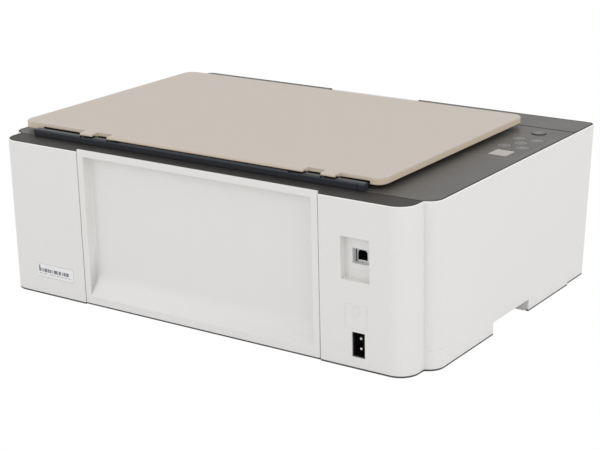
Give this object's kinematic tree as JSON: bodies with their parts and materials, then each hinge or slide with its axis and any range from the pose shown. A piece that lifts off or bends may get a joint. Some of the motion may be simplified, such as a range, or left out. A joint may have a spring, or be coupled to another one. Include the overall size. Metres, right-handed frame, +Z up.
{
  "type": "inkjet printer",
  "caption": "All-in-one inkjet printer with a flatbed scanner under a hinged lid, a rear paper tray, a fold-down front and a top control panel.",
  "frame": {"origin": "on the floor under the centre of the body", "axes": "+X towards the side away from the control panel, +Y towards the rear with the ports, +Z up"},
  "size_m": [0.425, 0.302, 0.1447],
  "materials": {
    "white_shell": "satin",
    "warm_lid": "satin",
    "dark_top": "satin",
    "dark_rear": "satin",
    "hinge_dark": "satin",
    "base_grey": "matte",
    "inner_dark": "matte",
    "inner_grey": "matte",
    "foot_rubber": "matte",
    "screw_steel": "satin",
    "rod_steel": "polished",
    "sheet_steel": "satin",
    "motor_steel": "satin",
    "pinion_brass": "polished",
    "clear_glass": "polished",
    "strip_film": "gloss",
    "belt_rubber": "matte",
    "roller_rubber": "matte",
    "pad_cork": "matte",
    "backing_white": "matte",
    "ink_felt": "matte",
    "gear_nylon": "satin",
    "key_grey": "satin",
    "lcd_grey": "gloss",
    "board_green": "satin",
    "label_silver": "matte",
    "black_part": "satin",
    "colour_part": "satin",
    "socket_steel": "satin"
  },
  "bodies": {
    "printer_body": {"base_case": "base_grey", "rubber_feet": "foot_rubber", "case_screws": "screw_steel", "main_shell": "white_shell", "rear_label": "label_silver", "scanner_top": "dark_top", "front_strip": "dark_top", "rear_strip": "dark_rear", "scanner_tray": "inner_dark", "scanner_glass": "clear_glass", "scan_rod": "rod_steel", "hinge_beam": "hinge_dark", "hinge_pins": "rod_steel", "display": "lcd_grey", "button_board": "board_green", "paper_chute": "inner_grey", "separation_pad": "pad_cork", "print_chassis": "sheet_steel", "carriage_rail": "sheet_steel", "carriage_rod": "rod_steel", "carriage_belt": "belt_rubber", "carriage_motor": "motor_steel", "encoder_strip": "strip_film", "platen": "inner_dark", "feed_motor": "motor_steel", "waste_pad": "ink_felt", "power_supply": "black_part", "power_inlet": "black_part", "main_board": "board_green", "usb_socket": "socket_steel"},
    "lid": {"scanner_lid": "warm_lid", "lid_backing": "backing_white"},
    "rear_tray": {"rear_tray": "white_shell"},
    "paper_guide": {"paper_guide": "inner_grey"},
    "pressure_plate": {"pressure_plate": "inner_grey"},
    "cartridge_door": {"cartridge_door": "white_shell"},
    "output_tray": {"output_tray": "white_shell"},
    "output_extension": {"output_extension": "inner_grey"},
    "print_carriage": {"print_carriage": "inner_dark", "carriage_slider": "inner_dark", "black_cartridge": "black_part", "colour_cartridge": "colour_part"},
    "carriage_pulley": {"carriage_pulley": "gear_nylon"},
    "idler_pulley": {"idler_pulley": "gear_nylon"},
    "scan_head": {"scan_head": "black_part"},
    "feed_roller": {"feed_roller": "roller_rubber"},
    "exit_roller": {"exit_roller": "roller_rubber"},
    "exit_idler": {"exit_idler": "gear_nylon"},
    "motor_pinion": {"motor_pinion": "pinion_brass"},
    "pick_idler": {"pick_idler": "gear_nylon"},
    "pick_roller": {"pick_roller": "roller_rubber"},
    "pinch_rollers": {"pinch_rollers": "roller_rubber"},
    "star_wheels": {"star_wheels": "screw_steel"},
    "cap_sled": {"cap_sled": "inner_grey"},
    "power_key": {"power_button": "key_grey"},
    "info_key": {"info_button": "key_grey"},
    "cancel_key": {"cancel_button": "key_grey"},
    "wireless_key": {"wireless_button": "key_grey"},
    "resume_key": {"resume_button": "key_grey"},
    "copy_key": {"copy_button": "key_grey"}
  },
  "joints": [
    {"name": "lid_hinge", "type": "hinge", "parent": "printer_body", "child": "lid", "pos_m": [0.01, 0.1245, 0.1385], "axis": [-1, 0, 0], "range_deg": [0, 85]},
    {"name": "rear_tray_hinge", "type": "hinge", "parent": "printer_body", "child": "rear_tray", "pos_m": [0, 0.145, 0.009], "axis": [-1, 0, 0], "range_deg": [0, 20]},
    {"name": "paper_guide_slide", "type": "slide", "parent": "rear_tray", "child": "paper_guide", "axis": [-1, 0, 0], "range_m": [0, 0.1]},
    {"name": "pressure_plate_hinge", "type": "hinge", "parent": "printer_body", "child": "pressure_plate", "pos_m": [0, 0.1339, 0.07042], "axis": [1, 0, 0], "range_deg": [0, 4]},
    {"name": "cartridge_door_hinge", "type": "hinge", "parent": "printer_body", "child": "cartridge_door", "pos_m": [0, -0.14256, 0.0792], "axis": [1, 0, 0], "range_deg": [0, 75]},
    {"name": "output_tray_hinge", "type": "hinge", "parent": "printer_body", "child": "output_tray", "pos_m": [0, -0.13244, 0.0067], "axis": [1, 0, 0], "range_deg": [0, 80]},
    {"name": "output_extension_slide", "type": "slide", "parent": "output_tray", "child": "output_extension", "axis": [0, -0.1154, 0.9933], "range_m": [0, 0.052]},
    {"name": "carriage_slide", "type": "slide", "parent": "printer_body", "child": "print_carriage", "axis": [-1, 0, 0], "range_m": [0, 0.262]},
    {"name": "carriage_pulley_spin", "type": "hinge", "parent": "printer_body", "child": "carriage_pulley", "pos_m": [-0.1335, 0.081, 0.086], "axis": [0, 1, 0], "range_deg": [0, 2300]},
    {"name": "idler_pulley_spin", "type": "hinge", "parent": "printer_body", "child": "idler_pulley", "pos_m": [0.175, 0.081, 0.086], "axis": [0, 1, 0], "range_deg": [0, 2300]},
    {"name": "scan_head_slide", "type": "slide", "parent": "printer_body", "child": "scan_head", "axis": [-1, 0, 0], "range_m": [0, 0.29]},
    {"name": "feed_roller_spin", "type": "hinge", "parent": "printer_body", "child": "feed_roller", "pos_m": [0, 0.062, 0.025], "axis": [1, 0, 0], "continuous": true},
    {"name": "exit_roller_spin", "type": "hinge", "parent": "printer_body", "child": "exit_roller", "pos_m": [0, 0.00801, 0.026], "axis": [1, 0, 0], "continuous": true},
    {"name": "exit_idler_spin", "type": "hinge", "parent": "printer_body", "child": "exit_idler", "pos_m": [-0.1523, 0.03361, 0.02553], "axis": [1, 0, 0], "continuous": true},
    {"name": "motor_pinion_spin", "type": "hinge", "parent": "printer_body", "child": "motor_pinion", "pos_m": [-0.155, 0.05769, 0.04942], "axis": [1, 0, 0], "continuous": true},
    {"name": "pick_idler_spin", "type": "hinge", "parent": "printer_body", "child": "pick_idler", "pos_m": [-0.1555, 0.08249, 0.04942], "axis": [1, 0, 0], "continuous": true},
    {"name": "pick_roller_spin", "type": "hinge", "parent": "printer_body", "child": "pick_roller", "pos_m": [-0.06, 0.11889, 0.04942], "axis": [1, 0, 0], "continuous": true},
    {"name": "pinch_rollers_spin", "type": "hinge", "parent": "printer_body", "child": "pinch_rollers", "pos_m": [0, 0.062, 0.03615], "axis": [1, 0, 0], "continuous": true},
    {"name": "star_wheels_spin", "type": "hinge", "parent": "printer_body", "child": "star_wheels", "pos_m": [0, 0.00801, 0.0362], "axis": [1, 0, 0], "continuous": true},
    {"name": "cap_sled_lift", "type": "slide", "parent": "printer_body", "child": "cap_sled", "axis": [0, 0, -1], "range_m": [0, 0.004]},
    {"name": "power_press", "type": "slide", "parent": "printer_body", "child": "power_key", "axis": [0, 0, -1], "range_m": [0, 0.0008], "stiffness_N_per_m": 900},
    {"name": "info_press", "type": "slide", "parent": "printer_body", "child": "info_key", "axis": [0, 0, -1], "range_m": [0, 0.0008], "stiffness_N_per_m": 900},
    {"name": "cancel_press", "type": "slide", "parent": "printer_body", "child": "cancel_key", "axis": [0, 0, -1], "range_m": [0, 0.0008], "stiffness_N_per_m": 900},
    {"name": "wireless_press", "type": "slide", "parent": "printer_body", "child": "wireless_key", "axis": [0, 0, -1], "range_m": [0, 0.0008], "stiffness_N_per_m": 900},
    {"name": "resume_press", "type": "slide", "parent": "printer_body", "child": "resume_key", "axis": [0, 0, -1], "range_m": [0, 0.0008], "stiffness_N_per_m": 900},
    {"name": "copy_press", "type": "slide", "parent": "printer_body", "child": "copy_key", "axis": [0, 0, -1], "range_m": [0, 0.0008], "stiffness_N_per_m": 900}
  ],
  "couplings": [
    {"joint": "carriage_pulley_spin", "follows": "carriage_slide", "rad_per_m": 152.67},
    {"joint": "idler_pulley_spin", "follows": "carriage_slide", "rad_per_m": 152.67},
    {"joint": "exit_roller_spin", "follows": "feed_roller_spin", "ratio": 1.1628},
    {"joint": "exit_idler_spin", "follows": "feed_roller_spin", "ratio": -2.381},
    {"joint": "motor_pinion_spin", "follows": "feed_roller_spin", "ratio": -4.1667},
    {"joint": "pick_idler_spin", "follows": "feed_roller_spin", "ratio": 1},
    {"joint": "pick_roller_spin", "follows": "feed_roller_spin", "ratio": -1.2195},
    {"joint": "pinch_rollers_spin", "follows": "feed_roller_spin", "ratio": -1.75},
    {"joint": "star_wheels_spin", "follows": "feed_roller_spin", "ratio": -1.7442}
  ]
}
